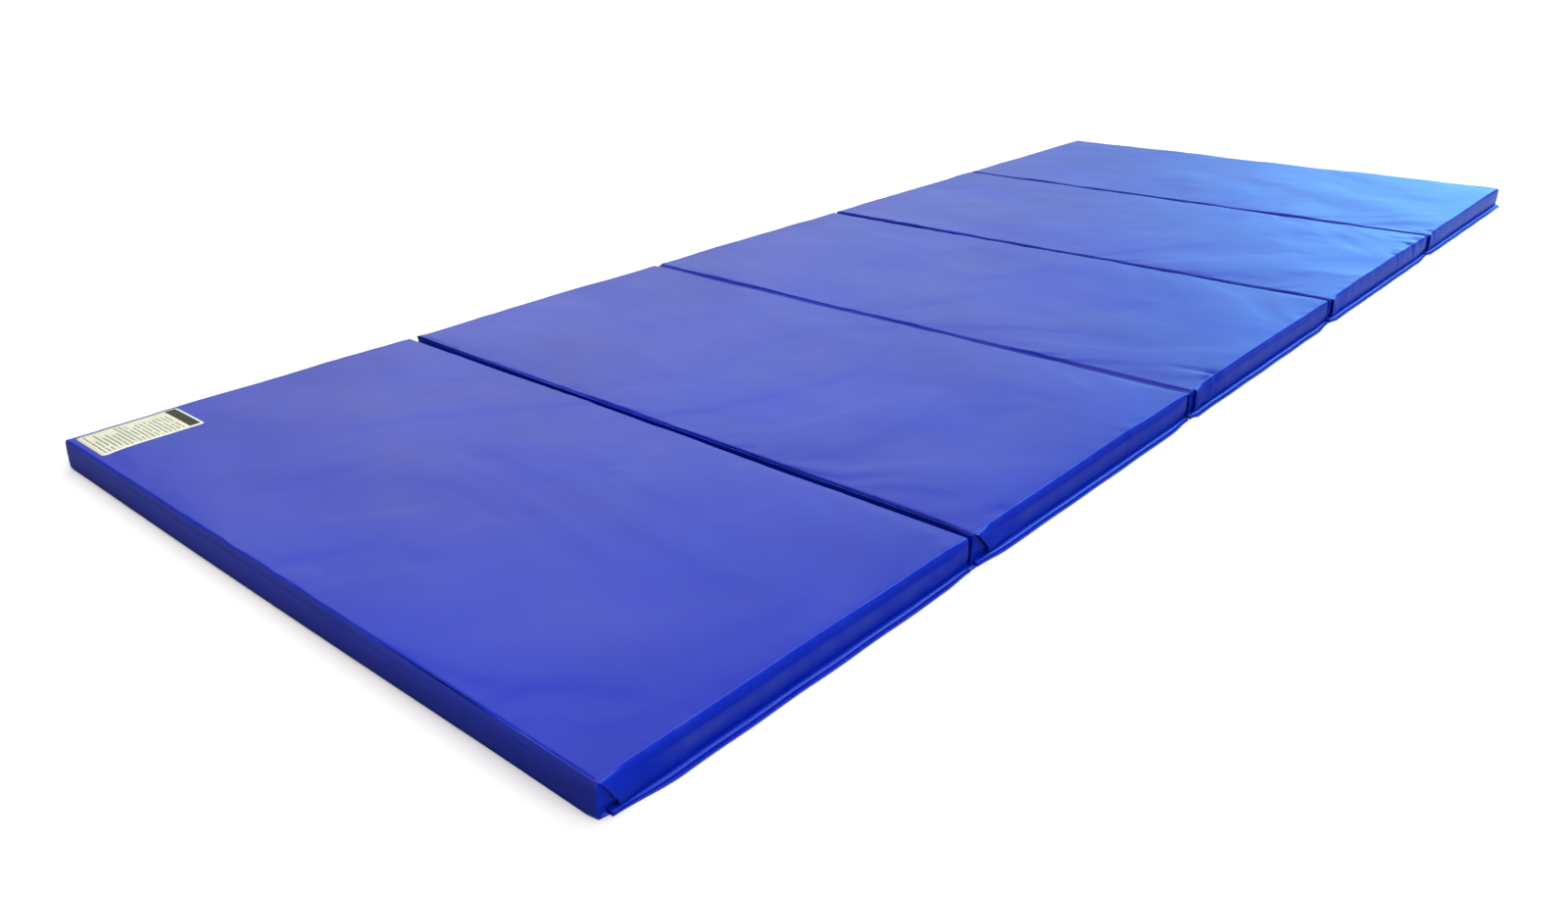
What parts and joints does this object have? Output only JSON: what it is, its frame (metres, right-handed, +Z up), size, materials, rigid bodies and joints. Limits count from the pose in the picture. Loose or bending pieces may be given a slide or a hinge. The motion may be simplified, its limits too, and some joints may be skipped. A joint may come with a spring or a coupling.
{
  "type": "folding gym mat",
  "caption": "Flat vinyl-covered foam exercise mat in equal panels joined by fabric hinges, folding up accordion-style into one stack.",
  "frame": {"origin": "bottom centre of the open mat, on the floor", "axes": "+X along the mat's length, from panel 1 (with the label) to panel 5; +Y across its width; +Z up"},
  "size_m": [3.048, 1.2412, 0.0503],
  "materials": {
    "cover_vinyl": "semi-gloss vinyl-coated polyester, royal blue, fine grain",
    "hinge_vinyl": "semi-gloss vinyl-coated polyester, royal blue, two plies",
    "thread": "bonded nylon thread, blue",
    "foam": "closed-cell polyethylene foam, matte off-white",
    "label": "satin printed vinyl, cream"
  },
  "bodies": {
    "panel_1": {"foam_core_1": "foam", "top_cover_1": "cover_vinyl", "bottom_cover_1": "cover_vinyl", "left_seam_thread_1": "thread", "right_seam_thread_1": "thread", "hinge_1_web_near_half": "hinge_vinyl", "hinge_1_thread_near_row": "thread", "information_label": "label"},
    "panel_2": {"foam_core_2": "foam", "top_cover_2": "cover_vinyl", "bottom_cover_2": "cover_vinyl", "left_seam_thread_2": "thread", "right_seam_thread_2": "thread", "hinge_1_web_far_half": "hinge_vinyl", "hinge_1_thread_far_row": "thread", "hinge_2_web_near_half": "hinge_vinyl", "hinge_2_thread_near_row": "thread"},
    "panel_3": {"foam_core_3": "foam", "top_cover_3": "cover_vinyl", "bottom_cover_3": "cover_vinyl", "left_seam_thread_3": "thread", "right_seam_thread_3": "thread", "hinge_2_web_far_half": "hinge_vinyl", "hinge_2_thread_far_row": "thread", "hinge_3_web_near_half": "hinge_vinyl", "hinge_3_thread_near_row": "thread"},
    "panel_4": {"foam_core_4": "foam", "top_cover_4": "cover_vinyl", "bottom_cover_4": "cover_vinyl", "left_seam_thread_4": "thread", "right_seam_thread_4": "thread", "hinge_3_web_far_half": "hinge_vinyl", "hinge_3_thread_far_row": "thread", "hinge_4_web_near_half": "hinge_vinyl", "hinge_4_thread_near_row": "thread"},
    "panel_5": {"foam_core_5": "foam", "top_cover_5": "cover_vinyl", "bottom_cover_5": "cover_vinyl", "left_seam_thread_5": "thread", "right_seam_thread_5": "thread", "hinge_4_web_far_half": "hinge_vinyl", "hinge_4_thread_far_row": "thread"}
  },
  "joints": [
    {"name": "fold_4", "type": "hinge", "parent": "panel_5", "child": "panel_4", "pos_m": [0.9186, 0, 0.0505], "axis": [0, 1, 0], "range_deg": [0, 180]},
    {"name": "fold_3", "type": "hinge", "parent": "panel_4", "child": "panel_3", "pos_m": [0.3062, 0, -0.0005], "axis": [0, 1, 0], "range_deg": [-180, 0]},
    {"name": "fold_2", "type": "hinge", "parent": "panel_3", "child": "panel_2", "pos_m": [-0.3062, 0, 0.0505], "axis": [0, 1, 0], "range_deg": [0, 180]},
    {"name": "fold_1", "type": "hinge", "parent": "panel_2", "child": "panel_1", "pos_m": [-0.9186, 0, -0.0005], "axis": [0, 1, 0], "range_deg": [-180, 0]}
  ],
  "couplings": [
    {"joint": "fold_3", "follows": "fold_4", "ratio": -1},
    {"joint": "fold_1", "follows": "fold_2", "ratio": -1}
  ]
}
